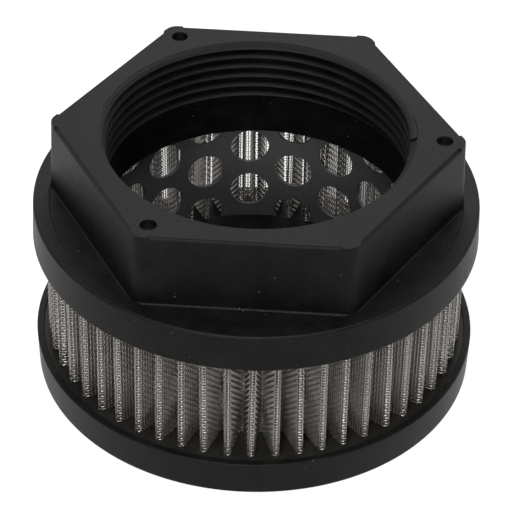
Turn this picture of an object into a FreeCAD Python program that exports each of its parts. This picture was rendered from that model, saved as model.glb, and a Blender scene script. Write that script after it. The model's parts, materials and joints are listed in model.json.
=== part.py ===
"""Suction strainer for a hydraulic tank, with a G 2 female thread.

A moulded hexagonal head and a moulded bottom cap hold a rolled perforated tube and a
pleated pack of woven wire cloth between them.  Both ends of the pack stand on rings of
cast adhesive, and the two ends of the cloth are gripped by a folded steel strip.

Millimetres, +Z up.  The origin is the middle of the cap's underside, the flats of the
hexagon face +Y and -Y, and two of its corners lie on the X axis.
"""
import FreeCAD, Part
import math
import os

import Sketcher
from FreeCAD import Placement, Rotation, Vector

# Driving dimensions
SIZES = {
    # threaded bore of the head
    "thread_major_diameter": 59.614,
    "thread_length": 9.65,
    "mouth_chamfer": 1.2,
    "bore_relief": 1.4,
    # hexagon
    "hex_land": 5.5,
    "hex_height": 15.2,
    "hex_draft": 0.4,
    "hex_corner_radius": 2.5,
    "edge_step_width": 0.45,
    "edge_step_depth": 0.3,
    "edge_bevel_depth": 0.8,
    "corner_nub_length": 2.6,
    # dimples on the hexagon's top face
    "dimple_diameter": 3.2,
    "dimple_depth": 1.2,
    "dimple_inset": 4.5,
    "dimple_count": 3,
    # the two end cups: the head's flange and the bottom cap
    "cup_wall": 1.4,
    "cup_draft": 0.3,
    "cup_edge_chamfer": 0.4,
    "flange_height": 7.8,
    "flange_plate": 2.4,
    "flange_rim_width": 3.2,
    "flange_rim_step": 0.25,
    "neck_wall": 1.6,
    "neck_reach": 4.8,
    "cap_height": 7.6,
    "cap_floor": 2.4,
    "plug_height": 6.8,
    "plug_wall": 2.4,
    "plug_slip": 0.2,
    "plug_chamfer": 0.5,
    # perforated tube
    "tube_slip": 0.1,
    "tube_sheet": 0.6,
    "hole_diameter": 8.0,
    "hole_columns": 11,
    "hole_row_rise": 5.55,
    "hole_top_margin": 4.55,
    "hole_turn": 6.1,
    # wire cloth
    "mesh_window": 24.0,
    "mesh_clearance": 0.2,
    "mesh_sheet": 0.45,
    "pleat_count": 53,
    "pleat_depth": 7.95,
    "pleat_crest_width": 1.0,
    "pleat_root_width": 0.9,
    "pleat_start_angle": 273.2,
    "pleat_drift": 2.1,
    "pleat_bunching": -3.14,
    # folded strip over the cloth's two ends
    "clip_sheet": 0.4,
    "clip_grip": 3.5,
    "clip_angle": 60.0,
    # cast adhesive
    "adhesive_margin": 1.0,
    "adhesive_recess": 0.4,
}

doc = FreeCAD.newDocument("suction_strainer")
sheet = doc.addObject("Spreadsheet::Sheet", "Sizes")
for row, (alias, number) in enumerate(SIZES.items(), start=1):
    sheet.set("A%d" % row, alias)
    sheet.set("B%d" % row, str(number))
    sheet.setAlias("B%d" % row, alias)
doc.recompute()


class Size:
    """A length, with the sheet's expression that works it out."""

    def __init__(self, value, text):
        self.value = float(value)
        self.text = text

    @staticmethod
    def of(other):
        return other if isinstance(other, Size) else Size(other, repr(other))

    def joined(self, sign, other, value):
        return Size(value, "(%s %s %s)" % (self.text, sign, other.text))

    def __add__(self, other):
        other = Size.of(other)
        return self.joined("+", other, self.value + other.value)

    def __sub__(self, other):
        other = Size.of(other)
        return self.joined("-", other, self.value - other.value)

    def __mul__(self, other):
        other = Size.of(other)
        return self.joined("*", other, self.value * other.value)

    def __truediv__(self, other):
        other = Size.of(other)
        return self.joined("/", other, self.value / other.value)

    def __neg__(self):
        return Size(-self.value, "(0 - %s)" % self.text)


def cell(alias):
    """One driving dimension of the sheet."""
    return Size(sheet.get(alias), "Sizes.%s" % alias)


def corner_reach(flat_reach, sides):
    """How far a regular polygon's corners reach, from how far its flats do."""
    half_side = Size(180, "180") / sides
    return flat_reach / Size(math.cos(math.radians(half_side.value)), "cos%s" % half_side.text)


# Radii, from the bore outwards
thread_root_radius = cell("thread_major_diameter") / 2
mouth_radius = thread_root_radius + cell("mouth_chamfer")
bore_radius = thread_root_radius + cell("bore_relief")
neck_radius = bore_radius + cell("neck_wall")
tube_inner_radius = neck_radius + cell("tube_slip")
tube_outer_radius = tube_inner_radius + cell("tube_sheet")
tube_flats = cell("hole_columns") * 2
mesh_inner_radius = corner_reach(tube_outer_radius, tube_flats) + cell("mesh_clearance")
mesh_outer_radius = mesh_inner_radius + cell("pleat_depth")
cup_inner_radius = mesh_outer_radius + cell("adhesive_margin")
cup_mouth_radius = cup_inner_radius + cell("cup_wall")
cup_closed_radius = cup_mouth_radius - cell("cup_draft")
rim_inner_radius = cup_closed_radius - cell("flange_rim_width")
plug_radius = tube_inner_radius - cell("plug_slip")

# Heights, from the cap's underside upwards
cap_rim = cell("cap_height")
flange_mouth = cap_rim + cell("mesh_window")
flange_top = flange_mouth + cell("flange_height")
flange_floor = flange_top - cell("flange_plate")
hex_foot = flange_top - cell("flange_rim_step")
head_top = flange_top + cell("hex_height")
neck_end = flange_floor - cell("neck_reach")
thread_top = head_top - cell("mouth_chamfer")
thread_end = thread_top - cell("thread_length")
adhesive_low = cap_rim - cell("adhesive_recess")
adhesive_high = flange_mouth + cell("adhesive_recess")
plug_top = cell("cap_floor") + cell("plug_height")

# The hexagon's top face: half its width across the flats and across the corners
hex_top_apothem = thread_root_radius + cell("hex_land")
hex_corner_reach = corner_reach(hex_top_apothem, Size(6, "6"))


# Helpers for bodies, sketches and features
def new_body(name):
    body = doc.addObject("PartDesign::Body", name)
    body.Label = name
    return body


def origin_part(body, role):
    """A plane or an axis of the body's own origin."""
    return [f for f in body.Origin.OriginFeatures if f.Role == role][0]


def new_sketch(body, name, plane, height=None):
    """A sketch on one of the body's own planes, raised to a height if one is given."""
    sketch = body.newObject("Sketcher::SketchObject", name)
    sketch.AttachmentSupport = [(origin_part(body, plane), "")]
    sketch.MapMode = "FlatFace"
    if height is not None:
        sketch.AttachmentOffset = Placement(Vector(0, 0, height.value), Rotation())
        sketch.setExpression("AttachmentOffset.Base.z", height.text)
    return sketch


def bind(sketch, kind, first, second, size):
    """A horizontal or vertical distance between two points, tied to the sheet."""
    if size.value < 0:
        first, second, size = second, first, -size
    index = sketch.addConstraint(Sketcher.Constraint(kind, *first, *second, size.value))
    sketch.setExpression("Constraints[%d]" % index, size.text)


ORIGIN = (-1, 1)


def place_point(sketch, geometry, x, y):
    """Fix a point of the sketch at x, y, where a plain 0 puts it on the axis."""
    for kind, axis, size in (("DistanceX", -2, x), ("DistanceY", -1, y)):
        if isinstance(size, Size):
            bind(sketch, kind, ORIGIN, geometry, size)
        else:
            sketch.addConstraint(Sketcher.Constraint("PointOnObject", *geometry, axis))


def outline(sketch, corners):
    """A closed outline of straight lines through the corners."""
    points = [Vector(Size.of(x).value, Size.of(y).value, 0) for x, y in corners]
    count = len(points)
    lines = [sketch.addGeometry(Part.LineSegment(points[i], points[(i + 1) % count]), False)
             for i in range(count)]
    for i, line in enumerate(lines):
        sketch.addConstraint(Sketcher.Constraint("Coincident", line, 2, lines[(i + 1) % count], 1))
    for line, (x, y) in zip(lines, corners):
        place_point(sketch, (line, 1), x, y)


def circle(sketch, x, y, diameter):
    """A circle at x, y."""
    centre = Vector(Size.of(x).value, Size.of(y).value, 0)
    shape = Part.Circle(centre, Vector(0, 0, 1), Size.of(diameter).value / 2)
    index = sketch.addGeometry(shape, False)
    place_point(sketch, (index, 3), x, y)
    bound = sketch.addConstraint(Sketcher.Constraint("Diameter", index, diameter.value))
    sketch.setExpression("Constraints[%d]" % bound, diameter.text)


def regular_polygon(sketch, x, y, radius, sides):
    """A regular polygon about x, y with a corner straight to the right of its middle."""
    middle = Vector(Size.of(x).value, Size.of(y).value, 0)
    ring = sketch.addGeometry(Part.Circle(middle, Vector(0, 0, 1), radius.value), True)
    place_point(sketch, (ring, 3), x, y)
    bound = sketch.addConstraint(Sketcher.Constraint("Radius", ring, radius.value))
    sketch.setExpression("Constraints[%d]" % bound, radius.text)
    corners = []
    for i in range(sides):
        turn = 2 * math.pi * i / sides
        corners.append(middle + Vector(math.cos(turn), math.sin(turn), 0) * radius.value)
    lines = [sketch.addGeometry(Part.LineSegment(corners[i], corners[(i + 1) % sides]), False)
             for i in range(sides)]
    for i, line in enumerate(lines):
        following = lines[(i + 1) % sides]
        sketch.addConstraint(Sketcher.Constraint("Coincident", line, 2, following, 1))
        sketch.addConstraint(Sketcher.Constraint("PointOnObject", line, 1, ring))
        if i:
            sketch.addConstraint(Sketcher.Constraint("Equal", lines[0], line))
    sketch.addConstraint(Sketcher.Constraint("Horizontal", ring, 3, lines[0], 1))


def revolve(body, kind, name, sketch):
    """A full turn of the sketch about the body's Z axis."""
    feature = body.newObject("PartDesign::" + kind, name)
    feature.Profile = sketch
    feature.ReferenceAxis = (origin_part(body, "Z_Axis"), [""])
    feature.Angle = 360
    sketch.Visibility = False
    return feature


def extrude(body, kind, name, sketch, length, reverse=False, symmetric=False):
    """A pad or a pocket of the sketch, as long as given."""
    feature = body.newObject("PartDesign::" + kind, name)
    feature.Profile = sketch
    feature.Length = length.value
    feature.setExpression("Length", length.text)
    feature.Reversed = reverse
    feature.Midplane = symmetric
    sketch.Visibility = False
    return feature


def around(body, name, feature, count):
    """Copies of the feature spread evenly about the Z axis."""
    pattern = body.newObject("PartDesign::PolarPattern", name)
    pattern.Originals = [feature]
    pattern.Axis = (origin_part(body, "Z_Axis"), [""])
    pattern.Angle = 360
    pattern.Occurrences = int(count.value)
    pattern.setExpression("Occurrences", count.text)
    body.Tip = pattern
    return pattern


def edges_where(shape, test):
    """Names of the edges that pass the test."""
    return ["Edge%d" % i for i, edge in enumerate(shape.Edges, start=1) if test(edge)]


def faces_where(shape, test):
    """Names of the faces that pass the test."""
    return ["Face%d" % i for i, face in enumerate(shape.Faces, start=1) if test(face)]


def is_circle(edge, radius, height):
    """True for a whole circle of that radius at that height."""
    curve = edge.Curve
    return (isinstance(curve, Part.Circle) and edge.Length > curve.Radius * 6
            and abs(curve.Radius - radius.value) < 0.01
            and abs(curve.Center.z - height.value) < 0.01)


def dress(body, kind, name, base, edges, size):
    """A fillet or a chamfer on the named edges."""
    feature = body.newObject("PartDesign::" + kind, name)
    feature.Base = (base, edges)
    prop = "Radius" if kind == "Fillet" else "Size"
    setattr(feature, prop, size.value)
    feature.setExpression(prop, size.text)
    return feature


def tube_outline(sketch, radius):
    """The perforated tube's outline, a flat for each column of holes."""
    regular_polygon(sketch, 0, 0, corner_reach(radius, tube_flats), int(tube_flats.value))


def turned_as_tube(body):
    """Turn a body about the axis as the rolled tube stands in its cups."""
    body.Placement = Placement(Vector(), Rotation(Vector(0, 0, 1), cell("hole_turn").value))
    body.setExpression("Placement.Rotation.Angle", cell("hole_turn").text)
    return body


# Head: hexagon, flange and neck moulded in one piece
def build_head():
    body = new_body("hex_head")

    top = new_sketch(body, "hex_outline", "XY_Plane", hex_foot)
    regular_polygon(top, 0, 0, hex_corner_reach, 6)
    block = extrude(body, "Pad", "hex_block", top, head_top - hex_foot)
    doc.recompute()
    drafted = body.newObject("PartDesign::Draft", "hex_draft")
    drafted.Base = (block, faces_where(block.Shape, lambda f: abs(f.normalAt(0, 0).z) < 0.1))
    drafted.NeutralPlane = (block, faces_where(block.Shape, lambda f: f.normalAt(0, 0).z > 0.9))
    drafted.Angle = math.degrees(math.atan(cell("hex_draft").value / cell("hex_height").value))
    drafted.setExpression("Angle", "atan(Sizes.hex_draft / Sizes.hex_height)")
    doc.recompute()

    def rises(edge):
        low, high = sorted(v.Z for v in edge.Vertexes)
        return high - low > 1
    corners = dress(body, "Fillet", "hex_corners", drafted, edges_where(drafted.Shape, rises),
                    cell("hex_corner_radius"))
    doc.recompute()

    section = new_sketch(body, "flange_section", "XZ_Plane")
    outline(section, [
        (bore_radius, neck_end), (neck_radius, neck_end), (neck_radius, flange_floor),
        (cup_inner_radius, flange_floor), (cup_inner_radius, flange_mouth),
        (cup_mouth_radius, flange_mouth), (cup_closed_radius, flange_top),
        (rim_inner_radius, flange_top), (rim_inner_radius, hex_foot),
        (bore_radius, hex_foot)])
    flange = revolve(body, "Revolution", "flange", section)
    doc.recompute()

    dress(body, "Chamfer", "flange_edge_chamfer", flange,
          edges_where(flange.Shape, lambda e: is_circle(e, cup_closed_radius, flange_top)),
          cell("cup_edge_chamfer"))

    hollow = new_sketch(body, "bore_section", "XZ_Plane")
    outline(hollow, [
        (0, neck_end), (bore_radius, neck_end), (bore_radius, thread_end),
        (thread_root_radius, thread_end), (thread_root_radius, thread_top),
        (mouth_radius, head_top), (0, head_top)])
    revolve(body, "Groove", "bore", hollow)

    # A stepped bevel along each top edge stops short of the corners, which stay proud
    step_in = hex_top_apothem - cell("edge_step_width")
    step_out = hex_top_apothem + cell("edge_step_width")
    bevel = new_sketch(body, "edge_bevel_section", "YZ_Plane")
    outline(bevel, [
        (step_in, head_top + 1), (step_in, head_top - cell("edge_step_depth")),
        (step_out, head_top + cell("edge_step_depth") - cell("edge_bevel_depth") * 2),
        (step_out, head_top + 1)])
    cut = extrude(body, "Pocket", "edge_bevel", bevel,
                  hex_corner_reach - cell("corner_nub_length") * 2, symmetric=True)
    around(body, "edge_bevels", cut, Size(6, "6"))

    spots = new_sketch(body, "dimple_place", "XY_Plane", head_top)
    circle(spots, hex_corner_reach - cell("dimple_inset"), 0, cell("dimple_diameter"))
    dimple = extrude(body, "Pocket", "dimple", spots, cell("dimple_depth"))
    around(body, "dimples", dimple, cell("dimple_count"))
    return body


# Bottom cap: a closed cup with a hollow plug that centres the tube
def build_cap():
    body = new_body("bottom_cap")
    hollow_radius = plug_radius - cell("plug_wall")
    hollow_top = plug_top - cell("plug_wall")
    section = new_sketch(body, "cap_section", "XZ_Plane")
    outline(section, [
        (0, hollow_top), (hollow_radius, hollow_top), (hollow_radius, 0),
        (cup_closed_radius, 0), (cup_mouth_radius, cap_rim), (cup_inner_radius, cap_rim),
        (cup_inner_radius, cell("cap_floor")), (plug_radius, cell("cap_floor")),
        (plug_radius, plug_top), (0, plug_top)])
    cup = revolve(body, "Revolution", "cap_cup", section)
    doc.recompute()
    edge = edges_where(cup.Shape, lambda e: is_circle(e, cup_closed_radius, Size(0, "0")))
    chamfer = dress(body, "Chamfer", "cap_edge_chamfer", cup, edge, cell("cup_edge_chamfer"))
    doc.recompute()
    edge = edges_where(chamfer.Shape, lambda e: is_circle(e, plug_radius, plug_top))
    dress(body, "Chamfer", "plug_lead_in", chamfer, edge, cell("plug_chamfer"))
    return body


# Perforated tube: sheet rolled to a flat for each column of its staggered round holes.
# Each hole is drawn with a few flats too, because there are so many of them.
HOLE_SIDES = 18


def build_tube():
    body = new_body("core_tube")
    wall = new_sketch(body, "tube_section", "XY_Plane", cell("cap_floor"))
    tube_outline(wall, tube_outer_radius)
    tube_outline(wall, tube_inner_radius)
    extrude(body, "Pad", "tube_wall", wall, flange_floor - cell("cap_floor"))
    doc.recompute()
    top_row = flange_floor - cell("hole_top_margin")
    one_flat = Size(360, "360") / tube_flats
    for name, rows, turn in (("long_column", (0, 2, 4), one_flat),
                             ("short_column", (1, 3), Size(0, "0"))):
        sketch = new_sketch(body, name + "_holes", "XZ_Plane")
        sketch.AttachmentOffset = Placement(Vector(), Rotation(Vector(0, 1, 0), turn.value))
        sketch.setExpression("AttachmentOffset.Rotation.Angle", turn.text)
        for row in rows:
            regular_polygon(sketch, 0, top_row - cell("hole_row_rise") * row,
                            cell("hole_diameter") / 2, HOLE_SIDES)
        column = extrude(body, "Pocket", name, sketch, tube_outer_radius + 1)
        around(body, name + "s", column, cell("hole_columns"))
        doc.recompute()
    return turned_as_tube(body)


# Wire cloth: a closed zigzag sheet between the two adhesive rings
def pleat_angle(place):
    """Angle of the crest at a whole or half place round the pack, in degrees.

    The pleats aren't spread evenly: they drift and bunch a little round the pack."""
    even = sheet.get("pleat_start_angle") + 360.0 / sheet.get("pleat_count") * place
    turn = math.radians(even - sheet.get("pleat_start_angle"))
    return (even + sheet.get("pleat_drift") * math.sin(turn)
            + sheet.get("pleat_bunching") * math.sin(2 * turn))


def clip_place():
    """The place of the crest nearest to the clip's angle."""
    def away(place):
        return abs((pleat_angle(place) - sheet.get("clip_angle") + 180) % 360 - 180)
    return min(range(int(sheet.get("pleat_count"))), key=away)


def from_axis(angle, radius, aside):
    """A point at a radius along an angle, moved aside across it."""
    turn = math.radians(angle)
    return Vector(radius * math.cos(turn) - aside * math.sin(turn),
                  radius * math.sin(turn) + aside * math.cos(turn), 0)


def beside(path, distance):
    """A closed outline at a distance outside a closed path that runs counter-clockwise."""
    corners = []
    for i, here in enumerate(path):
        before = here - path[i - 1]
        after = path[(i + 1) % len(path)] - here
        side = (Vector(before.y, -before.x, 0).normalize()
                + Vector(after.y, -after.x, 0).normalize())
        corners.append(here + side * (2 * distance / side.Length ** 2))
    return Part.makePolygon(corners + corners[:1])


def build_mesh():
    half_sheet = sheet.get("mesh_sheet") / 2
    crest = mesh_outer_radius.value - half_sheet
    root = mesh_inner_radius.value + half_sheet
    crest_half = sheet.get("pleat_crest_width") / 2
    root_half = sheet.get("pleat_root_width") / 2
    gripped = crest - sheet.get("clip_grip")
    path = []
    for place in range(int(sheet.get("pleat_count"))):
        angle = pleat_angle(place)
        if place == clip_place():
            path.append(from_axis(angle, gripped, -crest_half))
        path.append(from_axis(angle, crest, -crest_half))
        path.append(from_axis(angle, crest, crest_half))
        if place == clip_place():
            path.append(from_axis(angle, gripped, crest_half))
        angle = pleat_angle(place + 0.5)
        path.append(from_axis(angle, root, -root_half))
        path.append(from_axis(angle, root, root_half))
    band = Part.Face(beside(path, half_sheet)).cut(Part.Face(beside(path, -half_sheet)))
    mesh = doc.addObject("Part::Feature", "pleated_mesh")
    mesh.Label = "pleated_mesh"
    mesh.Shape = band.Faces[0].extrude(Vector(0, 0, adhesive_high.value - adhesive_low.value))
    mesh.Placement = Placement(Vector(0, 0, adhesive_low.value), Rotation())
    return mesh


# Seam clip: a folded strip that grips the crest where the cloth's two ends meet
def build_clip():
    body = new_body("seam_clip")
    inside = cell("pleat_crest_width") / 2 + cell("mesh_sheet") / 2
    outside = inside + cell("clip_sheet")
    back = mesh_outer_radius + cell("clip_sheet")
    lip = mesh_outer_radius - cell("clip_grip")
    sketch = new_sketch(body, "clip_outline", "XY_Plane", adhesive_low)
    outline(sketch, [
        (lip, -outside), (back, -outside), (back, outside), (lip, outside),
        (lip, inside), (mesh_outer_radius, inside), (mesh_outer_radius, -inside),
        (lip, -inside)])
    extrude(body, "Pad", "clip_strip", sketch, adhesive_high - adhesive_low)
    body.Placement = Placement(Vector(), Rotation(Vector(0, 0, 1), pleat_angle(clip_place())))
    return body


# Cast adhesive: it fills a cup from the tube out to the wall
def build_adhesive(name, low, high):
    body = new_body(name)
    sketch = new_sketch(body, name + "_section", "XY_Plane", low)
    circle(sketch, 0, 0, cup_inner_radius * 2)
    tube_outline(sketch, tube_outer_radius)
    extrude(body, "Pad", name + "_ring", sketch, high - low)
    return turned_as_tube(body)


parts = [
    build_head(),
    build_cap(),
    build_tube(),
    build_mesh(),
    build_clip(),
    build_adhesive("upper_adhesive", adhesive_high, flange_floor),
    build_adhesive("lower_adhesive", cell("cap_floor"), adhesive_low),
]
doc.recompute()

for thing in doc.Objects:
    if "Invalid" in thing.State or "Error" in thing.State:
        raise RuntimeError("%s failed: %s" % (thing.Name, thing.State))
os.makedirs("parts", exist_ok=True)
for part in parts:
    shape = part.Shape
    if shape.isNull() or not shape.isValid() or len(shape.Solids) != 1:
        raise RuntimeError("%s is not one valid solid" % part.Label)
    shape.exportStep("parts/%s.step" % part.Label)
    box = shape.optimalBoundingBox()
    print("%-16s %9.1f mm3  z %.2f to %.2f  radius %.2f"
          % (part.Label, shape.Volume, box.ZMin, box.ZMax, max(box.XMax, -box.XMin)))
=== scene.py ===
"""Suction strainer: the looks of its moulded, rolled and woven pieces, its light and its camera.

Metres, +Z up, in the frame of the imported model.  Run as a script, it builds every piece.
"""
import json
import math
import random

import bpy
from bpy.props import FloatProperty, FloatVectorProperty, IntProperty, PointerProperty
from mathutils import Matrix, Vector


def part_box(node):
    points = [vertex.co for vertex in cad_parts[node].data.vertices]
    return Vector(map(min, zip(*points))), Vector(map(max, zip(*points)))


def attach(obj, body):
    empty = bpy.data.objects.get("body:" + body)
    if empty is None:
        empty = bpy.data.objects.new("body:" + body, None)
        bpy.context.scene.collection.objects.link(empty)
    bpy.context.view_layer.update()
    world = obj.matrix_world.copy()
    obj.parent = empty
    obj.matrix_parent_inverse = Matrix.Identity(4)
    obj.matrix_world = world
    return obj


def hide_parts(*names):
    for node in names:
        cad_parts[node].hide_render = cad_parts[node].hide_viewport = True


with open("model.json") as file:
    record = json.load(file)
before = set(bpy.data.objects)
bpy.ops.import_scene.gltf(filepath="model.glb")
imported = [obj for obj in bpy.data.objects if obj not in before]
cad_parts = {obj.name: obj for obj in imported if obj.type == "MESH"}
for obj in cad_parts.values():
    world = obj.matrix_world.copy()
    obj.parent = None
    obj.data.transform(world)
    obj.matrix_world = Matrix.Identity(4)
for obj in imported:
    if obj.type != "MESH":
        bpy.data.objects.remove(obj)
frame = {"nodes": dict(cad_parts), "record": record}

bl_info = {
    "name": "Suction strainer",
    "version": (1, 0, 0),
    "blender": (4, 5, 0),
    "location": "3D View > Sidebar > Strainer",
    "description": "Models and dresses a hydraulic suction strainer",
    "category": "Object",
}

MM = 0.001

# How finely bends are drawn, and what counts as a sharp edge or as one point
ARC_STEPS = 5
CORNER_STEPS = 8
BEND_STEP = math.radians(10.0)
SHARP = math.radians(35.0)
MERGE_GAP = 0.001 * MM

# The hexagon: its sides, and the turn from a corner to the middle of the next side
HEX_SIDES = 6
HALF_SIDE = math.pi / HEX_SIDES

# Tools that cut the pieces
TRIM_HEIGHT = 8 * MM
CONE_DEPTH = 3 * MM
PUNCH_LENGTH = 6 * MM
PUNCH_SIDES = 40
PIN_SIDES = 32

# The mesh's random bends always come out the same
MESH_SEED = 53

# Each lamp: its name, place and width, and the stage size that holds its power
LAMPS = (("front_lamp", (-0.10, -0.90, 0.50), 0.25, "front_light"),
         ("back_lamp", (0.0, 0.75, 0.75), 0.8, "back_light"),
         ("top_lamp", (0.0, -0.30, 1.0), 0.4, "top_light"))
LAMP_AIM = Vector((0.0, 0.0, 0.03))

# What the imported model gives: the corners of its nodes, and the port's plain bore
HEAD_LOW, HEAD_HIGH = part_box("hex_head")
CAP_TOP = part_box("bottom_cap")[1].z
TUBE_LOW, TUBE_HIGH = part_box("core_tube")
MESH_LOW, MESH_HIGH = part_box("pleated_mesh")
PORT = [m for m in frame["record"]["mounts"] if m["name"] == "port_thread"][0]
BORE_RADIUS = PORT["dims"]["r_mm"] * MM
THREAD_LENGTH = PORT["dims"]["length_mm"] * MM
THREAD_END = PORT["pos_m"][2] - THREAD_LENGTH / 2
HEAD_TOP = HEAD_HIGH.z
CUP_RADIUS = HEAD_HIGH.x


def length(name, description, default):
    """A size in metres."""
    return FloatProperty(name=name, description=description, default=default,
                         min=0.0, precision=5, subtype="DISTANCE", unit="LENGTH")


def turn(name, description, degrees):
    """An angle, given in degrees."""
    return FloatProperty(name=name, description=description, default=math.radians(degrees),
                         subtype="ANGLE", unit="ROTATION")


def share(name, description, default):
    """A plain number, such as a share or a strength."""
    return FloatProperty(name=name, description=description, default=default)


def count(name, description, default):
    """A whole number of things."""
    return IntProperty(name=name, description=description, default=default, min=1)


def colour(name, description, default):
    """A colour, with linear red, green and blue."""
    return FloatVectorProperty(name=name, description=description, default=default,
                               size=3, min=0.0, max=1.0, subtype="COLOR")


class CupSizes(bpy.types.PropertyGroup):
    """Sizes that the head's flange and the bottom cap share"""
    wall: length("Wall", "Wall of a cup at its mouth", 1.4 * MM)
    draft: length("Draft", "How much a cup's outside narrows towards its closed end", 0.3 * MM)
    edge_round: length("Edge round", "Round of a cup's closed edge", 0.55 * MM)
    mouth_round: length("Mouth round", "Round of a cup's mouth", 0.25 * MM)
    lip_round: length("Lip round", "Round of a mouth's inner edge", 0.1 * MM)
    cap_height: length("Cap height", "From the cap's underside to its rim", 7.6 * MM)
    plug_wall: length("Plug wall", "Wall and roof of the cap's hollow plug", 2.4 * MM)
    plug_slip: length("Plug slip", "Gap between the plug and the tube", 0.2 * MM)
    plug_round: length("Plug round", "Round of the plug's top edge", 0.5 * MM)
    roof_round: length("Roof round", "Round under the plug's roof", 0.4 * MM)
    foot_round: length("Foot round", "Round of the hollow's edge in the underside", 0.2 * MM)
    steps: count("Steps", "Sides of a whole turn", 192)


class HeadSizes(bpy.types.PropertyGroup):
    """Sizes of the moulded head"""
    hex_land: length("Land", "From the plain bore to the middle of a flat", 5.5 * MM)
    hex_height: length("Height", "From the flange's rim to the top face", 15.2 * MM)
    hex_draft: length("Draft", "How much a flat leans out towards its foot", 0.4 * MM)
    corner_round: length("Corner round", "Round of the hexagon's corners", 2.5 * MM)
    foot_round: length("Foot round", "Fillet round the hexagon's foot", 0.4 * MM)
    step_width: length("Step width", "Width of the step along each top edge", 0.45 * MM)
    step_depth: length("Step depth", "Depth of the step along each top edge", 0.18 * MM)
    bevel_depth: length("Bevel depth", "How far down the flat the step's bevel runs", 0.8 * MM)
    nub_length: length("Nub length", "Length of the corners that stay proud", 2.6 * MM)
    dimples: count("Mould marks", "Number of mould marks", 3)
    dimple_radius: length("Dimple radius", "Radius of a mould mark", 1.6 * MM)
    dimple_depth: length("Dimple depth", "Depth of a mould mark", 1.2 * MM)
    dimple_inset: length("Dimple inset", "From a corner to its mould mark", 4.5 * MM)
    rim_width: length("Rim width", "Width of the raised rim on the flange", 3.2 * MM)
    rim_step: length("Rim step", "Height of the raised rim on the flange", 0.25 * MM)
    rim_round: length("Rim round", "Round of the rim's inner edges", 0.08 * MM)
    relief: length("Relief", "How much wider the bore is below the thread", 1.4 * MM)
    mouth_chamfer: length("Mouth chamfer", "How much wider the mouth is than the bore", 1.2 * MM)
    neck_wall: length("Neck wall", "Wall of the neck inside the tube", 1.6 * MM)
    neck_reach: length("Neck reach", "How far the neck reaches into the tube", 4.8 * MM)
    neck_round: length("Neck round", "Round of the neck's lower edge", 0.2 * MM)
    soft_edge: length("Soft edge", "Round of every other moulded edge", 0.12 * MM)


class ThreadSizes(bpy.types.PropertyGroup):
    """Sizes of the port's thread"""
    pitch: length("Pitch", "From one turn to the next", 2.309 * MM)
    crest_stand: length("Crest stand", "How far the crests stand inside the bore", 0.2 * MM)
    crest: length("Crest", "Width of a ridge at its crest", 0.3 * MM)
    base: length("Base", "Width of a ridge at its root", 2.0 * MM)
    crest_round: length("Crest round", "Round of a ridge's crest", 0.1 * MM)
    sunk: length("Sunk", "How far a ridge's foot reaches into the wall", 0.3 * MM)
    depth: length("Depth", "Depth of the first whole crest at the far side", 0.85 * MM)
    above: share("Turns above", "Turns from there up to the thread's faded start", 0.8)
    turns: share("Turns", "Number of turns", 6.4)
    run_out: length("Run-out", "How far the last turn runs into the relief", 1.4 * MM)
    mouth_slope: share("Mouth slope", "How far the chamfer falls for each length inwards", 0.65)
    notch: turn("Notch", "Where the first groove starts", 2.0)
    filled: turn("Filled", "How far round from the notch that groove stays filled", 170.0)
    edge: length("Edge", "How far the ridges stay below the top face", 0.02 * MM)
    overlap: length("Overlap", "How far the filling covers the ridge that it lies on", 0.02 * MM)
    steps: count("Steps", "Straight pieces to one turn of a ridge", 96)


class TubeSizes(bpy.types.PropertyGroup):
    """Sizes of the perforated tube"""
    sheet: length("Sheet", "Thickness of the sheet", 0.6 * MM)
    slip: length("Slip", "Gap between the neck and the tube", 0.1 * MM)
    steps: count("Steps", "Sides of the tube to one column of holes", 8)
    hole: length("Hole", "Radius of a hole", 4.0 * MM)
    columns: count("Columns", "Columns of holes that are three high", 11)
    row_rise: length("Row rise", "Height between the rows of neighbouring columns", 5.55 * MM)
    top_margin: length("Top margin", "From the tube's top to the first row", 4.55 * MM)
    hole_turn: turn("Turn", "Where a column of two holes stands", 96.1)
    burr: length("Edge round", "Round of a hole's edge", 0.06 * MM)


class MeshSizes(bpy.types.PropertyGroup):
    """Sizes of the pleated wire mesh"""
    wire: length("Wire", "Radius of a wire", 0.11 * MM)
    pitch: length("Pitch", "From one wire to the next", 0.695 * MM)
    cup_gap: length("Cup gap", "From the cup's wall to the pleats' crests", 1.0 * MM)
    root_gap: length("Root gap", "From the tube to the pleats' roots", 0.543 * MM)
    pleats: count("Pleats", "Number of pleats", 53)
    crest_bend: length("Crest bend", "Bend of the mesh at a crest", 0.6 * MM)
    root_bend: length("Root bend", "Bend of the mesh at a root", 0.45 * MM)
    start_turn: turn("Start", "Angle of the first crest", 273.2)
    drift: turn("Drift", "How far the pleats drift round the pack", 2.1)
    bunching: turn("Bunching", "How far the pleats bunch on two sides", -3.14)
    clip_turn: turn("Seam", "Where the seam clip stands", 60.0)
    clip_grip: length("Clip grip", "How far the seam clip reaches in", 3.5 * MM)
    clip_gap: length("Clip gap", "From the clip to the bend where the mesh opens", 0.2 * MM)
    clip_bend: length("Clip bend", "Bend of the mesh where it leaves the clip", 0.6 * MM)
    unevenness: turn("Unevenness", "How far a crest stands from its even place", 0.35)
    lean: turn("Lean", "How far a crest leans from its foot to its top", 0.5)
    bands: count("Bands", "Pieces that the round wires are split into", 3)
    sectors: count("Sectors", "Pieces that the upright wires are split into", 3)


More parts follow.
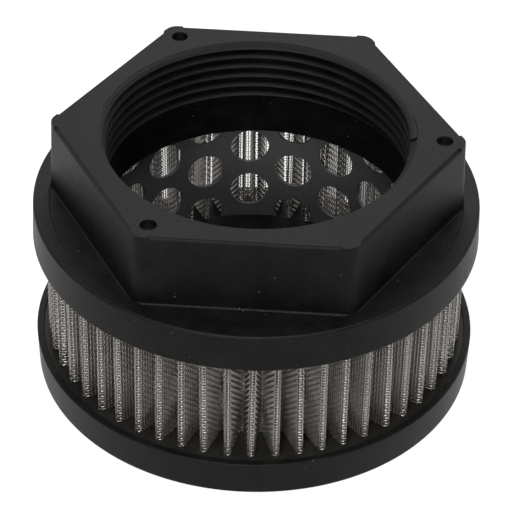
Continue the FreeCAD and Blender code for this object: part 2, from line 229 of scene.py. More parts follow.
class StageSizes(bpy.types.PropertyGroup):
    """The camera, the floor and the lamps"""
    azimuth: turn("Azimuth", "Where the camera stands round the part", 3.318)
    elevation: turn("Elevation", "How high the camera stands", 38.366)
    roll: turn("Roll", "How far the camera leans", 1.143)
    distance: length("Distance", "From the camera to the part's middle", 514.83 * MM)
    target: length("Target", "Height of the point that the camera looks at", 25.75 * MM)
    lens: share("Lens", "Focal length in millimetres", 180.82)
    shift: share("Shift", "Upward shift of the picture", -0.01447)
    shift_aside: share("Shift aside", "Sideways shift of the picture", -0.00098)
    floor: length("Floor", "Width of the floor", 4.0)
    floor_gap: length("Floor gap", "How far the floor lies below the cap's foot", 0.02 * MM)
    floor_catch: share("Floor catch", "Share of the light that the white floor gives back", 0.32)
    floor_glow: share("Floor glow", "Strength of the white floor's own light", 0.72)
    soft_light: share("Soft light", "Strength of the even light from all sides", 0.45)
    front_light: share("Front lamp", "Power of the front lamp in watts", 8.0)
    back_light: share("Back lamp", "Power of the back lamp in watts", 4.3)
    top_light: share("Top lamp", "Power of the top lamp in watts", 10.0)


class Finishes(bpy.types.PropertyGroup):
    """Colours of the part and of its stage"""
    nylon: colour("Nylon", "Glass-filled nylon", (0.0010, 0.0009, 0.0008))
    nylon_pale: colour("Nylon skin", "Paler streaks of the moulded skin", (0.0038, 0.0036, 0.0033))
    nylon_rough: share("Nylon roughness", "Roughness of the moulded skin", 0.42)
    dust: colour("Dust", "Specks of dust", (0.14, 0.135, 0.13))
    dust_share: share("Dust share", "Share of the places that hold a speck", 0.03)
    zinc: colour("Tube", "Zinc-plated sheet", (0.120, 0.123, 0.125))
    wire: colour("Wire", "Stainless wire", (0.37, 0.35, 0.325))
    strip: colour("Strip", "Bare steel strip", (0.32, 0.325, 0.33))
    glue: colour("Adhesive", "Cast adhesive", (0.007, 0.0065, 0.006))
    floor: colour("Floor", "Pale floor", (0.82, 0.82, 0.82))


def tube_inside(scene):
    """Radius of the tube's inner face, where it stands round the neck."""
    head = scene.strainer_head
    return BORE_RADIUS + head.relief + head.neck_wall + scene.strainer_tube.slip


# Small helpers for modelling by operator
def only(*pieces):
    """Select these objects alone, with the first one active."""
    bpy.ops.object.select_all(action="DESELECT")
    for piece in pieces:
        piece.select_set(True)
    bpy.context.view_layer.objects.active = pieces[0]


def named(name):
    """The object that an operator has just added, with its name and at the origin."""
    piece = bpy.context.object
    piece.name = name
    piece.data.name = name
    only(piece)
    bpy.ops.object.transform_apply(location=True, rotation=True, scale=True)
    return piece


def cylinder(name, radius, low, high, sides, at=(0.0, 0.0), turned=0.0):
    """A closed upright cylinder."""
    bpy.ops.mesh.primitive_cylinder_add(
        vertices=sides, radius=radius, depth=high - low, end_fill_type="NGON",
        location=(at[0], at[1], (low + high) / 2), rotation=(0.0, 0.0, turned))
    return named(name)


def edit(piece):
    """Open a piece for editing by its vertices."""
    only(piece)
    bpy.ops.object.mode_set(mode="EDIT")
    bpy.ops.mesh.select_mode(type="VERT")


def pick(piece, part, test):
    """Select the vertices, edges or faces of an open piece that pass the test."""
    bpy.ops.mesh.select_all(action="DESELECT")
    bpy.ops.object.mode_set(mode="OBJECT")
    for item in getattr(piece.data, part):
        item.select = test(item)
    bpy.ops.object.mode_set(mode="EDIT")


def rise_of(piece, edge):
    """How far an edge climbs."""
    first, second = (piece.data.vertices[i].co.z for i in edge.vertices)
    return abs(first - second)


def close_up(piece):
    """Merge doubled vertices, turn the faces outwards and leave edit mode."""
    bpy.ops.mesh.select_all(action="SELECT")
    bpy.ops.mesh.remove_doubles(threshold=MERGE_GAP)
    bpy.ops.mesh.normals_make_consistent(inside=False)
    bpy.ops.object.mode_set(mode="OBJECT")
    return piece


def rounded(corners):
    """The points of an outline, each corner cut back to an arc of the radius that it gives."""
    points = [Vector((x, 0.0, z)) for x, z, _ in corners]
    outline = []
    for i, (_, _, radius) in enumerate(corners):
        here = points[i]
        if not radius:
            outline.append(here)
            continue
        back = (points[i - 1] - here).normalized()
        ahead = (points[(i + 1) % len(points)] - here).normalized()
        half = back.angle(ahead) / 2
        middle = here + (back + ahead).normalized() * (radius / math.sin(half))
        start = (here + back * (radius / math.tan(half)) - middle).normalized()
        end = (here + ahead * (radius / math.tan(half)) - middle).normalized()
        for k in range(ARC_STEPS + 1):
            outline.append(middle + start.slerp(end, k / ARC_STEPS) * radius)
    return outline


def drawn(name, corners):
    """A closed outline in the XZ plane, drawn by extruding a vertex from point to point."""
    places = rounded(corners)
    bpy.ops.mesh.primitive_plane_add(size=MM)
    piece = named(name)
    edit(piece)
    bpy.ops.mesh.select_all(action="SELECT")
    bpy.ops.mesh.merge(type="CENTER")
    bpy.ops.transform.translate(value=places[0])
    for here, there in zip(places, places[1:]):
        bpy.ops.mesh.extrude_region_move(TRANSFORM_OT_translate={"value": there - here})
    bpy.ops.mesh.select_all(action="SELECT")
    bpy.ops.mesh.edge_face_add()
    return piece


def spun(name, corners, steps):
    """A closed body of revolution with that outline."""
    piece = drawn(name, corners)
    bpy.ops.mesh.select_all(action="SELECT")
    bpy.ops.mesh.delete(type="ONLY_FACE")
    bpy.ops.mesh.select_all(action="SELECT")
    bpy.ops.mesh.spin(steps=steps, angle=math.tau, center=(0, 0, 0), axis=(0, 0, 1))
    return close_up(piece)


def modified(piece, name, kind, **settings):
    """A piece with a modifier made and applied."""
    only(piece)
    modifier = piece.modifiers.new(name, kind)
    for key, value in settings.items():
        setattr(modifier, key, value)
    bpy.ops.object.modifier_apply(modifier=modifier.name)
    return piece


def combined(piece, other, operation):
    """Join another piece to this one, or cut it away."""
    modified(piece, "combined", "BOOLEAN", operation=operation, solver="EXACT", object=other)
    bpy.data.objects.remove(other)
    return piece


def softened(piece, width):
    """Round every sharp edge."""
    return modified(piece, "softened", "BEVEL", width=width, segments=2, limit_method="ANGLE",
                    angle_limit=SHARP, use_clamp_overlap=False)


def joined(pieces):
    """Several objects as one."""
    only(*pieces)
    bpy.ops.object.join()
    return pieces[0]


def copies_around(piece, number):
    """Copies of a piece spread evenly about the axis, joined to it."""
    copies = [piece]
    for i in range(1, number):
        only(piece)
        bpy.ops.object.duplicate()
        copy = bpy.context.object
        copy.data.transform(Matrix.Rotation(math.tau * i / number, 4, "Z"))
        copies.append(copy)
    return joined(copies)


def finished(piece, material, node, angle=SHARP):
    """Smooth a new piece with wide faces kept flat, dress it and put it in its node's place."""
    only(piece)
    bpy.ops.object.shade_smooth_by_angle(angle=angle)
    if angle < math.pi:
        modified(piece, "flat_faces", "WEIGHTED_NORMAL", weight=80, keep_sharp=True)
    piece.data.materials.clear()
    piece.data.materials.append(material)
    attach(piece, "root")
    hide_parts(node)
    return piece


# Materials
class Tree:
    """A node tree under construction."""

    def __init__(self, tree):
        self.tree = tree

    def add(self, kind, inputs=None, **settings):
        """A node, with its settings, and its inputs' values or links."""
        node = self.tree.nodes.new("ShaderNode" + kind)
        for key, value in settings.items():
            setattr(node, key, value)
        for key, value in (inputs or {}).items():
            if isinstance(value, bpy.types.NodeSocket):
                self.tree.links.new(value, node.inputs[key])
            else:
                node.inputs[key].default_value = value
        return node

    def maths(self, operation, *values):
        """The result of a Math node."""
        return self.add("Math", dict(enumerate(values)), operation=operation).outputs[0]

    def ramp(self, value, low, high):
        """A value mapped smoothly: 0 at the low end of its range, 1 at the high end."""
        inputs = {"Value": value, "From Min": low, "From Max": high}
        return self.add("MapRange", inputs, interpolation_type="SMOOTHSTEP").outputs["Result"]

    def mix(self, factor, first, second):
        """A colour between two others."""
        inputs = {0: factor, 6: first, 7: second}
        return self.add("Mix", inputs, data_type="RGBA").outputs[2]

    def place(self):
        """The place on the piece, in metres."""
        return self.add("TexCoord").outputs["Object"]

    def noise(self, vector, scale, detail=2.0, roughness=0.5):
        """Soft random values between 0 and 1."""
        inputs = {"Vector": vector, "Scale": scale, "Detail": detail, "Roughness": roughness}
        return self.add("TexNoise", inputs).outputs["Fac"]


def new_group(name, inputs, outputs):
    """An empty shader node group that takes a place and these numbers, and gives numbers."""
    tree = bpy.data.node_groups.new(name, "ShaderNodeTree")
    tree.interface.new_socket(name="Place", in_out="INPUT", socket_type="NodeSocketVector")
    for side, labels in (("INPUT", inputs), ("OUTPUT", outputs)):
        for label in labels:
            tree.interface.new_socket(name=label, in_out=side, socket_type="NodeSocketFloat")
    return Tree(tree), tree.nodes.new("NodeGroupInput").outputs


def give(nodes, results):
    """Link a group's results to its outputs."""
    out = nodes.tree.nodes.new("NodeGroupOutput")
    for label, value in results.items():
        nodes.tree.links.new(value, out.inputs[label])


def skin_group():
    """The grain, flow marks and sheen of a moulded surface."""
    nodes, given = new_group("moulded_skin", ("Grain", "Rough", "Spread"),
                             ("Height", "Pale", "Roughness"))
    fine = nodes.noise(given["Place"], given["Grain"], detail=3.0, roughness=0.6)
    marks = nodes.noise(given["Place"], scale=180.0, detail=4.0, roughness=0.6)
    wide = nodes.noise(given["Place"], scale=45.0)
    pale = nodes.ramp(nodes.maths("MULTIPLY", marks, fine), low=0.12, high=0.42)
    uneven = nodes.maths("SUBTRACT", nodes.maths("ADD", marks, wide), 1.0)
    rough = nodes.maths("MULTIPLY_ADD", uneven, given["Spread"], given["Rough"])
    give(nodes, {"Height": fine, "Pale": pale, "Roughness": rough})


def dust_group():
    """Loose specks that lie here and there."""
    nodes, given = new_group("dust_specks", ("Spacing", "Size", "Share"), ("Mask",))
    cells = nodes.add("TexVoronoi", {"Vector": given["Place"], "Scale": given["Spacing"]})
    picked = nodes.add("SeparateColor", {"Color": cells.outputs["Color"]}).outputs[0]
    chosen = nodes.maths("LESS_THAN", picked, given["Share"])
    near = nodes.maths("LESS_THAN", cells.outputs["Distance"], given["Size"])
    give(nodes, {"Mask": nodes.maths("MULTIPLY", chosen, near)})


def metal_group():
    """Fine scratches and soft stains of a metal surface."""
    nodes, given = new_group("worked_metal", ("Scratch", "Rough", "Spread"),
                             ("Height", "Stain", "Roughness"))
    drawn_out = nodes.add("Mapping", {"Vector": given["Place"], "Scale": (1.0, 1.0, 0.08)})
    scratches = nodes.noise(drawn_out.outputs[0], given["Scratch"], detail=3.0)
    stain = nodes.noise(given["Place"], scale=220.0, detail=4.0, roughness=0.65)
    uneven = nodes.maths("SUBTRACT", nodes.maths("ADD", scratches, stain), 1.0)
    rough = nodes.maths("MULTIPLY_ADD", uneven, given["Spread"], given["Rough"])
    give(nodes, {"Height": scratches, "Stain": stain, "Roughness": rough})


def group_node(nodes, tree, inputs):
    """A group placed in a material, reading the place on the piece."""
    node = nodes.tree.nodes.new("ShaderNodeGroup")
    node.node_tree = tree
    nodes.tree.links.new(nodes.place(), node.inputs["Place"])
    for key, value in inputs.items():
        node.inputs[key].default_value = value
    return node.outputs


def new_material(name):
    """A material with a shader and its output."""
    material = bpy.data.materials.new(name)
    material.use_nodes = True
    material.node_tree.nodes.clear()
    nodes = Tree(material.node_tree)
    shader = nodes.add("BsdfPrincipled")
    out = nodes.add("OutputMaterial")
    nodes.tree.links.new(shader.outputs[0], out.inputs["Surface"])
    return material, nodes, shader


def feed(nodes, shader, links):
    """Link values to the shader's sockets."""
    for key, value in links.items():
        nodes.tree.links.new(value, shader.inputs[key])


def bump(nodes, height, strength, distance):
    """The normal that a height gives."""
    inputs = {"Height": height, "Strength": strength, "Distance": distance}
    return nodes.add("Bump", inputs).outputs["Normal"]


def solid(rgb):
    """A colour with full opacity."""
    return (rgb[0], rgb[1], rgb[2], 1.0)


def nylon_material(name, finishes):
    """Black glass-filled nylon with a satin skin and a little dust."""
    _, nodes, shader = new_material(name)
    skin = group_node(nodes, bpy.data.node_groups["moulded_skin"],
                      {"Grain": 3400.0, "Rough": finishes.nylon_rough, "Spread": 0.12})
    dust = group_node(nodes, bpy.data.node_groups["dust_specks"],
                      {"Spacing": 1400.0, "Size": 0.12, "Share": finishes.dust_share})
    plain = nodes.mix(skin["Pale"], solid(finishes.nylon), solid(finishes.nylon_pale))
    shader.inputs["IOR"].default_value = 1.45
    shader.inputs["Specular IOR Level"].default_value = 0.105
    shader.inputs["Specular Tint"].default_value = (1.0, 0.98, 0.95, 1.0)
    feed(nodes, shader, {
        "Base Color": nodes.mix(dust["Mask"], plain, solid(finishes.dust)),
        "Roughness": skin["Roughness"],
        "Normal": bump(nodes, skin["Height"], strength=0.8, distance=0.13 * MM)})


def steel_material(name, rgb, dark, roughness, scratch):
    """Worked steel, with darker stains."""
    material, nodes, shader = new_material(name)
    metal = group_node(nodes, bpy.data.node_groups["worked_metal"],
                       {"Scratch": scratch, "Rough": roughness, "Spread": 0.18})
    shader.inputs["Metallic"].default_value = 1.0
    stained = nodes.mix(nodes.ramp(metal["Stain"], low=0.35, high=0.7), solid(rgb),
                        solid([c * dark for c in rgb]))
    feed(nodes, shader, {
        "Base Color": stained,
        "Roughness": metal["Roughness"],
        "Normal": bump(nodes, metal["Height"], strength=0.15, distance=0.01 * MM)})
    return material


def adhesive_material(finishes):
    """Dark cast adhesive with a slightly wavy, glossy skin."""
    material, nodes, shader = new_material("cast_adhesive")
    skin = group_node(nodes, bpy.data.node_groups["moulded_skin"],
                      {"Grain": 700.0, "Rough": 0.32, "Spread": 0.15})
    pale = solid([c * 1.8 for c in finishes.glue])
    feed(nodes, shader, {
        "Base Color": nodes.mix(skin["Pale"], solid(finishes.glue), pale),
        "Roughness": skin["Roughness"],
        "Normal": bump(nodes, skin["Height"], strength=0.4, distance=0.15 * MM)})
    shader.inputs["Specular IOR Level"].default_value = 0.07
    return material


class STRAINER_OT_finishes(bpy.types.Operator):
    """Make the materials, and dress the nodes that keep their own shape"""
    bl_idname = "strainer.finishes"
    bl_label = "Finishes"

    def execute(self, context):
        finishes = context.scene.strainer_finishes
        skin_group()
        dust_group()
        metal_group()
        nylon_material("satin_nylon_head", finishes)
        nylon_material("satin_nylon_cap", finishes)
        steel_material("zinc_sheet", finishes.zinc, dark=0.9, roughness=0.7, scratch=2500.0)
        steel_material("stainless_wire", finishes.wire, dark=0.8, roughness=0.32, scratch=6000.0)
        strip = steel_material("bare_strip", finishes.strip, dark=0.85, roughness=0.4,
                               scratch=4000.0)
        glue = adhesive_material(finishes)
        for name, material in (("seam_clip", strip), ("upper_adhesive", glue),
                               ("lower_adhesive", glue)):
            node = frame["nodes"][name]
            node.data.materials.clear()
            node.data.materials.append(material)
        return {"FINISHED"}


class STRAINER_OT_head(bpy.types.Operator):
    """Model the moulded head: hexagon, flange, neck and thread"""
    bl_idname = "strainer.head"
    bl_label = "Moulded head"

    def execute(self, context):
        head = context.scene.strainer_head
        cup = context.scene.strainer_cup
        piece = self.flange(head, cup)
        piece = combined(piece, self.hexagon(head, cup), "UNION")
        relief = cylinder("relief", BORE_RADIUS + head.relief, HEAD_LOW.z - MM, THREAD_END,
                          cup.steps)
        combined(piece, relief, "DIFFERENCE")
        softened(piece, head.soft_edge)
        piece = joined([piece, *self.ridges(context.scene.strainer_thread, head)])
        finished(piece, bpy.data.materials["satin_nylon_head"], "hex_head")
        return {"FINISHED"}

    def flange(self, head, cup):
        """The flange and the neck, spun from one outline."""
        top = HEAD_TOP - head.hex_height
        foot = top - head.rim_step
        floor = TUBE_HIGH.z
        mouth = HEAD_LOW.z
        bore = BORE_RADIUS + head.relief
        neck = bore + head.neck_wall
        blank = bore - MM
        closed = CUP_RADIUS - cup.draft
        rim = closed - head.rim_width
        inner = CUP_RADIUS - cup.wall
        return spun("moulded_head", [
            (blank, floor - head.neck_reach, 0),
            (neck, floor - head.neck_reach, head.neck_round),
            (neck, floor, 0), (inner, floor, 0), (inner, mouth, cup.lip_round),
            (CUP_RADIUS, mouth, cup.mouth_round), (closed, top, cup.edge_round),
            (rim, top, head.rim_round), (rim, foot, head.rim_round),
            (blank, foot, 0)], cup.steps)

    def hexagon(self, head, cup):
        """The hexagonal block, with its bore, stepped edges and mould marks."""
        foot = HEAD_TOP - head.hex_height - head.rim_step
        flat = BORE_RADIUS + head.hex_land
        reach = flat / math.cos(HALF_SIDE)
        start = foot + head.foot_round
        piece = cylinder("hexagon", reach, start, HEAD_TOP, HEX_SIDES, turned=HALF_SIDE)
        edit(piece)
        pick(piece, "vertices", lambda v: v.co.z < start + MM)
        wide = (flat + head.hex_draft) / flat
        bpy.ops.transform.resize(value=(wide, wide, 1.0))
        bpy.ops.mesh.select_mode(type="EDGE")
        pick(piece, "edges", lambda e: rise_of(piece, e) > MM)
        bpy.ops.mesh.bevel(offset=head.corner_round * math.tan(HALF_SIDE),
                           segments=CORNER_STEPS, affect="EDGES")
        bpy.ops.mesh.select_mode(type="FACE")
        pick(piece, "polygons", lambda f: f.normal.z < -0.9)
        before = Vector((0.0, start))
        for i in range(1, ARC_STEPS + 1):
            angle = math.pi / 2 * i / ARC_STEPS
            here = Vector((1 - math.cos(angle), -math.sin(angle))) * head.foot_round
            here.y += start
            bpy.ops.mesh.extrude_region_move(
                TRANSFORM_OT_translate={"value": (0.0, 0.0, here.y - before.y)})
            wide = (flat + head.hex_draft + here.x) / (flat + head.hex_draft + before.x)
            bpy.ops.transform.resize(value=(wide, wide, 1.0))
            before = here
        bpy.ops.mesh.extrude_region_move(
            TRANSFORM_OT_translate={"value": (0.0, 0.0, -head.foot_round)})
        bpy.ops.object.mode_set(mode="OBJECT")

        below = foot - MM
        mouth = BORE_RADIUS + head.mouth_chamfer
        combined(piece, cylinder("bore", mouth, below, HEAD_TOP + MM, cup.steps), "DIFFERENCE")
        combined(piece, self.edge_cutters(head, flat, reach), "DIFFERENCE")
        combined(piece, self.dimple_cutters(head, reach), "DIFFERENCE")
        return piece

    def edge_cutters(self, head, flat, reach):
        """Six bars that cut the stepped bevels along the top edges."""
        half = reach / 2 - head.nub_length
        step_in = flat - head.step_width
        step_out = flat + head.step_width
        low_out = HEAD_TOP + head.step_depth - 2 * head.bevel_depth
        bar = drawn("edge_bar", [
            (step_in, HEAD_TOP + MM, 0), (step_in, HEAD_TOP - head.step_depth, 0),
            (step_out, low_out, 0), (step_out, HEAD_TOP + MM, 0)])
        bpy.ops.mesh.select_all(action="SELECT")
        bpy.ops.transform.translate(value=(0.0, -half, 0.0))
        bpy.ops.mesh.extrude_region_move(TRANSFORM_OT_translate={"value": (0.0, 2 * half, 0.0)})
        close_up(bar)
        bar.data.transform(Matrix.Rotation(HALF_SIDE, 4, "Z"))
        return copies_around(bar, HEX_SIDES)

    def dimple_cutters(self, head, reach):
        """Pins that cut the mould marks beside every other corner."""
        pin = cylinder("dimple_pin", head.dimple_radius, HEAD_TOP - head.dimple_depth,
                       HEAD_TOP + MM, PIN_SIDES, at=(reach - head.dimple_inset, 0.0))
        return copies_around(pin, head.dimples)

    def ridges(self, thread, head):
        """The thread's ridge, and the filling that ends the first groove at the notch."""
        root = BORE_RADIUS + head.mouth_chamfer
        crest = BORE_RADIUS - thread.crest_stand
        sunk = root + thread.sunk
        half, wide = thread.crest / 2, thread.base / 2
        tooth = [(sunk, -wide, 0), (root, -wide, 0), (crest, -half, thread.crest_round),
                 (crest, half, thread.crest_round), (root, wide, 0), (sunk, wide, 0)]
        face = crest + thread.overlap
        filling = [(sunk, 0, 0), (face, 0, 0), (face, thread.pitch, 0), (sunk, thread.pitch, 0)]
        notch = math.pi / 2 - thread.notch
        filled = thread.filled / math.tau
        return [self.swept("ridge", tooth, thread, root, thread.above, thread.turns),
                self.swept("filling", filling, thread, root - thread.overlap,
                           filled - notch / math.tau, filled)]

    def swept(self, name, outline, thread, mouth, above, turns):
        """An outline swept down the thread's helix and trimmed at the mouth and the relief.

        The helix climbs to the left and passes the far side at the depth of the first crest.
        """
        piece = drawn(name, outline)
        bpy.ops.object.mode_set(mode="OBJECT")
        steps = int(thread.steps * turns)
        modified(piece, "helix", "SCREW", axis="Z", angle=math.tau * turns,
                 screw_offset=thread.pitch * turns, steps=steps, render_steps=steps,
                 use_merge_vertices=False)
        low = HEAD_TOP - thread.depth + thread.pitch * (above - turns)
        first = math.pi / 2 + math.tau * (above - turns)
        piece.data.transform(Matrix.Translation((0.0, 0.0, low)) @ Matrix.Rotation(first, 4, "Z"))
        edit(piece)
        bpy.ops.mesh.select_all(action="SELECT")
        bpy.ops.mesh.fill_holes(sides=0)
        close_up(piece)

        for bottom in (THREAD_END - thread.run_out - TRIM_HEIGHT, HEAD_TOP - thread.edge):
            block = cylinder("trim", CUP_RADIUS, bottom, bottom + TRIM_HEIGHT, thread.steps)
            combined(piece, block, "DIFFERENCE")
        bpy.ops.mesh.primitive_cone_add(
            vertices=2 * thread.steps, radius1=mouth - CONE_DEPTH / thread.mouth_slope,
            radius2=mouth + MM / thread.mouth_slope, depth=CONE_DEPTH + MM,
            location=(0.0, 0.0, HEAD_TOP + (MM - CONE_DEPTH) / 2))
        return combined(piece, named("mouth_cone"), "DIFFERENCE")


class STRAINER_OT_cap(bpy.types.Operator):
    """Model the moulded bottom cap with its hollow plug"""
    bl_idname = "strainer.cap"
    bl_label = "Moulded cap"

    def execute(self, context):
        cup = context.scene.strainer_cup
        plug = tube_inside(context.scene) - cup.plug_slip
        hollow = plug - cup.plug_wall
        roof = CAP_TOP - cup.plug_wall
        closed = CUP_RADIUS - cup.draft
        inner = CUP_RADIUS - cup.wall
        floor = TUBE_LOW.z
        piece = spun("moulded_cap", [
            (0, roof, 0), (hollow, roof, cup.roof_round), (hollow, 0, cup.foot_round),
            (closed, 0, cup.edge_round), (CUP_RADIUS, cup.cap_height, cup.mouth_round),
            (inner, cup.cap_height, cup.lip_round), (inner, floor, 0), (plug, floor, 0),
            (plug, CAP_TOP, cup.plug_round), (0, CAP_TOP, 0)], cup.steps)
        finished(piece, bpy.data.materials["satin_nylon_cap"], "bottom_cap")
        return {"FINISHED"}


class STRAINER_OT_tube(bpy.types.Operator):
    """Model the rolled tube with its staggered round holes"""
    bl_idname = "strainer.tube"
    bl_label = "Perforated tube"

    def execute(self, context):
        tube = context.scene.strainer_tube
        inside = tube_inside(context.scene)
        outside = inside + tube.sheet
        sides = 2 * tube.columns * tube.steps
        piece = spun("perforated_tube", [
            (inside, TUBE_LOW.z, 0), (outside, TUBE_LOW.z, 0),
            (outside, TUBE_HIGH.z, 0), (inside, TUBE_HIGH.z, 0)], sides)
        one_column = math.pi / tube.columns
        combined(piece, self.punches("long", tube, outside, (0, 2, 4), one_column), "DIFFERENCE")
        combined(piece, self.punches("short", tube, outside, (1, 3), 0.0), "DIFFERENCE")
        softened(piece, tube.burr)
        finished(piece, bpy.data.materials["zinc_sheet"], "core_tube")
        return {"FINISHED"}

    def punches(self, name, tube, outside, rows, turned):
        """One column of punches, copied round the tube."""
        column = []
        for row in rows:
            height = TUBE_HIGH.z - tube.top_margin - tube.row_rise * row
            bpy.ops.mesh.primitive_cylinder_add(
                vertices=PUNCH_SIDES, radius=tube.hole, depth=PUNCH_LENGTH,
                location=(outside, 0.0, height), rotation=(0.0, math.pi / 2, 0.0))
            column.append(named(name))
        punch = joined(column)
        punch.data.transform(Matrix.Rotation(tube.hole_turn + turned, 4, "Z"))
        return copies_around(punch, tube.columns)


class STRAINER_OT_mesh(bpy.types.Operator):
    """Weave the pleated mesh from round wires and upright wires"""
    bl_idname = "strainer.mesh"
    bl_label = "Wire mesh"

    def execute(self, context):
        mesh = context.scene.strainer_mesh
        self.outer = CUP_RADIUS - context.scene.strainer_cup.wall - mesh.cup_gap
        tube = tube_inside(context.scene) + context.scene.strainer_tube.sheet
        self.inner = tube + mesh.root_gap
        random.seed(MESH_SEED)
        self.crests = [self.loosened(mesh) for _ in range(2 * mesh.pleats)]
        rows = round((MESH_HIGH.z - MESH_LOW.z) / mesh.pitch)
        rise = (MESH_HIGH.z - MESH_LOW.z) / rows
        heights = [MESH_LOW.z + rise * (row + 0.5) for row in range(rows)]
        middle = self.walked(mesh, 0.5)
        wires = 2 * round(self.total(middle) / mesh.pitch / 2)
        net = [self.spread(self.walked(mesh, (z - MESH_LOW.z) / (MESH_HIGH.z - MESH_LOW.z)), wires)
               for z in heights]

        for band in range(mesh.bands):
            members = range(rows * band // mesh.bands, rows * (band + 1) // mesh.bands)
            loops = [[(*self.aside(net[row][i], mesh.wire, row + i), heights[row])
                      for i in range(wires)] for row in members]
            self.woven("round_wires_%d" % (band + 1), loops, True, mesh.wire)
        for sector in range(mesh.sectors):
            members = range(wires * sector // mesh.sectors, wires * (sector + 1) // mesh.sectors)
            posts = []
            for i in members:
                post = [(*self.aside(net[row][i], -mesh.wire, row + i), heights[row])
                        for row in range(rows)]
                first, last = post[0], post[-1]
                posts.append([(first[0], first[1], first[2] - rise)] + post
                             + [(last[0], last[1], last[2] + rise)])
            self.woven("upright_wires_%d" % (sector + 1), posts, False, mesh.wire)
        return {"FINISHED"}

    def loosened(self, mesh):
        """How far one bend stands and leans from its even place."""
        return (random.uniform(-1, 1) * mesh.unevenness, random.uniform(-1, 1) * mesh.lean)

    def pleat_turn(self, mesh, place):
        """Angle of the crest at a whole place round the pack, or of the root at a half one."""
        even = mesh.start_turn + math.tau * place / mesh.pleats
        along = even - mesh.start_turn
        return even + mesh.drift * math.sin(along) + mesh.bunching * math.sin(2 * along)

    def bends(self, mesh, rise):
        """Every bend at a height: its middle, its radius, and 1 for a left turn or -1."""
        weave = 2 * mesh.wire
        crest = self.outer - weave - mesh.crest_bend
        root = self.inner + weave + mesh.root_bend
        seam = min(range(mesh.pleats), key=lambda place: abs(
            math.remainder(self.pleat_turn(mesh, place) - mesh.clip_turn, math.tau)))
        found = []
        for place in range(mesh.pleats):
            for half, radius, bend, way in ((0, crest, mesh.crest_bend, 1),
                                            (1, root, mesh.root_bend, -1)):
                off, lean = self.crests[2 * place + half]
                angle = self.pleat_turn(mesh, place + half / 2)
                gripped = place == seam and not half
                if not gripped:
                    angle += off + lean * (rise - 0.5)
                here = (self.polar(angle, radius, 0.0), bend, way)
                if gripped:
                    found += [self.grip(mesh, angle, -1), here, self.grip(mesh, angle, 1)]
                else:
                    found.append(here)
        return found

    def grip(self, mesh, angle, side):
        """The bend where the mesh leaves the clip."""
        radius = self.outer - mesh.clip_grip - mesh.clip_gap
        aside = side * (mesh.crest_bend + mesh.clip_bend)
        return (self.polar(angle, radius, aside), mesh.clip_bend, -1)

    def polar(self, angle, radius, aside):
        """A point at a radius along an angle, moved aside across it."""
        return Vector((radius * math.cos(angle) - aside * math.sin(angle),
                       radius * math.sin(angle) + aside * math.cos(angle)))

    def walked(self, mesh, rise):
        """The mesh's line at a height, as points: straight between bends and round them."""
        bends = self.bends(mesh, rise)
        headings = []
        for i, (here, radius, way) in enumerate(bends):
            there, next_radius, next_way = bends[(i + 1) % len(bends)]
            gap = there - here
            lead = (way * radius - next_way * next_radius) / gap.length
            headings.append(math.atan2(gap.y, gap.x) + math.asin(lead))
        line = []
        for i, (here, radius, way) in enumerate(bends):
            before, after = headings[i - 1], headings[i]
            swing = math.remainder(after - before, math.tau)
            if way * swing < -0.5:
                swing += way * math.tau
            pieces = max(1, int(abs(swing) / BEND_STEP))
            for k in range(pieces + 1):
                heading = before + swing * k / pieces
                line.append(here + Vector((math.sin(heading), -math.cos(heading))) * way * radius)
        return line

    def total(self, line):
        """Length of a closed line."""
        return sum((here - line[i - 1]).length for i, here in enumerate(line))

    def spread(self, line, number):
        """Evenly spaced places along a closed line, each with the direction across it."""
        step = self.total(line) / number
        places = []
        due = 0.0
        run = 0.0
        for i, here in enumerate(line):
            there = line[(i + 1) % len(line)]
            gap = there - here
            if gap.length < 1e-9:
                continue
            while due < run + gap.length and len(places) < number:
                along = gap.normalized()
                places.append((here + along * (due - run), Vector((along.y, -along.x))))
                due += step
            run += gap.length
        return places

    def aside(self, place, distance, order):
        """A crossing moved out on even orders and in on odd ones."""
        point, across = place
        moved = point + across * (distance if order % 2 == 0 else -distance)
        return moved.x, moved.y

    def woven(self, name, lines, closed, wire):
        """Wires along these lines, as one piece."""
        curve = bpy.data.curves.new(name, "CURVE")
        curve.dimensions = "3D"
        curve.bevel_depth = wire
        curve.bevel_resolution = 0
        curve.use_fill_caps = True
        for line in lines:
            spline = curve.splines.new("POLY")
            spline.points.add(len(line) - 1)
            spline.points.foreach_set("co", [c for point in line for c in (*point, 1.0)])
            spline.use_cyclic_u = closed
        piece = bpy.data.objects.new(name, curve)
        bpy.context.collection.objects.link(piece)
        only(piece)
        bpy.ops.object.convert(target="MESH")
        finished(bpy.context.object, bpy.data.materials["stainless_wire"],
                 "pleated_mesh", angle=math.pi)


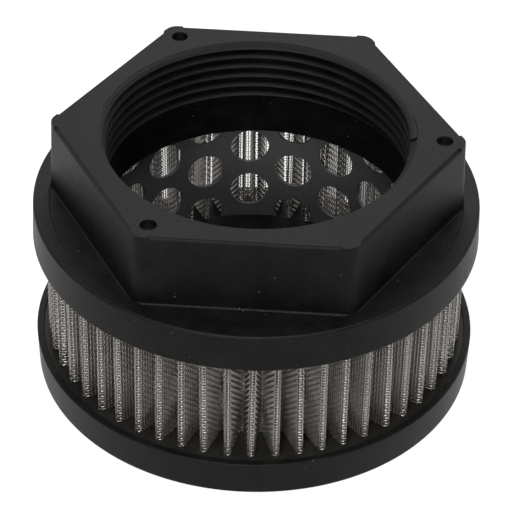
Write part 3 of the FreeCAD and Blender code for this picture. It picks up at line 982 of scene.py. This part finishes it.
class STRAINER_OT_stage(bpy.types.Operator):
    """Set the floor, the background, the lamps and the camera"""
    bl_idname = "strainer.stage"
    bl_label = "Stage"

    def execute(self, context):
        stage = context.scene.strainer_stage
        self.floor(stage, context.scene.strainer_finishes)
        self.background(context.scene, stage)
        self.lamps(stage)
        self.camera(context.scene, stage)
        context.scene.view_settings.view_transform = "Standard"
        return {"FINISHED"}

    def seen(self, nodes):
        """1 for rays from the camera, from gloss and through glass, which see the background."""
        rays = nodes.add("LightPath").outputs
        some = nodes.maths("MAXIMUM", rays["Is Camera Ray"], rays["Is Glossy Ray"])
        return nodes.maths("MAXIMUM", some, rays["Is Transmission Ray"])

    def floor(self, stage, finishes):
        """A pale floor that looks white and keeps the part's shadow."""
        bpy.ops.mesh.primitive_plane_add(size=stage.floor)
        piece = named("floor")
        piece.data.transform(Matrix.Translation((0.0, 0.0, -stage.floor_gap)))
        material = bpy.data.materials.new("pale_floor")
        material.use_nodes = True
        material.node_tree.nodes.clear()
        nodes = Tree(material.node_tree)
        plain = nodes.add("BsdfDiffuse", {"Color": solid(finishes.floor)}).outputs[0]
        catch = solid([stage.floor_catch] * 3)
        catching = nodes.add("BsdfDiffuse", {"Color": catch}).outputs[0]
        glow = nodes.add("Emission", {"Strength": stage.floor_glow}).outputs[0]
        white = nodes.add("AddShader", {0: catching, 1: glow}).outputs[0]
        both = nodes.add("MixShader", {0: self.seen(nodes), 1: plain, 2: white}).outputs[0]
        nodes.add("OutputMaterial", {"Surface": both})
        piece.data.materials.append(material)

    def background(self, scene, stage):
        """A white background over an even, softer light."""
        world = bpy.data.worlds.new("studio")
        world.use_nodes = True
        world.node_tree.nodes.clear()
        nodes = Tree(world.node_tree)
        soft = nodes.add("Background", {"Strength": stage.soft_light}).outputs[0]
        white = nodes.add("Background", {"Color": (1.0, 1.0, 1.0, 1.0)}).outputs[0]
        both = nodes.add("MixShader", {0: self.seen(nodes), 1: soft, 2: white}).outputs[0]
        nodes.add("OutputWorld", {"Surface": both})
        scene.world = world

    def lamps(self, stage):
        """Soft lamps, each aimed at the part's middle."""
        for name, place, width, power in LAMPS:
            bpy.ops.object.light_add(type="AREA", location=place)
            lamp = bpy.context.object
            lamp.name = name
            lamp.data.size = width
            lamp.data.energy = getattr(stage, power)
            lamp.rotation_mode = "QUATERNION"
            lamp.rotation_quaternion = (LAMP_AIM - lamp.location).to_track_quat("-Z", "Y")

    def camera(self, scene, stage):
        """The camera at the photograph's angle."""
        back = Vector((math.sin(stage.azimuth) * math.cos(stage.elevation),
                       -math.cos(stage.azimuth) * math.cos(stage.elevation),
                       math.sin(stage.elevation)))
        bpy.ops.object.camera_add(location=Vector((0.0, 0.0, stage.target)) + back * stage.distance)
        camera = bpy.context.object
        camera.rotation_mode = "QUATERNION"
        look = (-back).to_track_quat("-Z", "Y").to_matrix() @ Matrix.Rotation(stage.roll, 3, "Z")
        camera.rotation_quaternion = look.to_quaternion()
        camera.data.lens = stage.lens
        camera.data.sensor_width = 36.0
        camera.data.shift_x = stage.shift_aside
        camera.data.shift_y = stage.shift
        camera.data.clip_start = 0.01
        scene.camera = camera


class STRAINER_PT_pieces(bpy.types.Panel):
    """Lists the strainer's pieces, with their sizes"""
    bl_idname = "STRAINER_PT_pieces"
    bl_label = "Suction strainer"
    bl_space_type = "VIEW_3D"
    bl_region_type = "UI"
    bl_category = "Strainer"

    def draw(self, context):
        for operator, groups in STEPS:
            box = self.layout.box()
            box.operator(operator.bl_idname)
            for group in groups:
                sizes = getattr(context.scene, group)
                for name in sizes.__annotations__:
                    box.prop(sizes, name)


GROUPS = {
    "strainer_cup": CupSizes,
    "strainer_head": HeadSizes,
    "strainer_thread": ThreadSizes,
    "strainer_tube": TubeSizes,
    "strainer_mesh": MeshSizes,
    "strainer_stage": StageSizes,
    "strainer_finishes": Finishes,
}
STEPS = (
    (STRAINER_OT_finishes, ("strainer_finishes",)),
    (STRAINER_OT_head, ("strainer_head", "strainer_thread")),
    (STRAINER_OT_cap, ("strainer_cup",)),
    (STRAINER_OT_tube, ("strainer_tube",)),
    (STRAINER_OT_mesh, ("strainer_mesh",)),
    (STRAINER_OT_stage, ("strainer_stage",)),
)
CLASSES = (*GROUPS.values(), *(operator for operator, _ in STEPS), STRAINER_PT_pieces)


def register():
    for cls in CLASSES:
        bpy.utils.register_class(cls)
    for name, group in GROUPS.items():
        setattr(bpy.types.Scene, name, PointerProperty(type=group))


def unregister():
    for name in GROUPS:
        delattr(bpy.types.Scene, name)
    for cls in reversed(CLASSES):
        bpy.utils.unregister_class(cls)


def main():
    """Build every piece in order."""
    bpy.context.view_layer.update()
    register()
    bpy.ops.strainer.finishes()
    bpy.ops.strainer.head()
    bpy.ops.strainer.cap()
    bpy.ops.strainer.tube()
    bpy.ops.strainer.mesh()
    bpy.ops.strainer.stage()


if __name__ == "__main__":
    main()
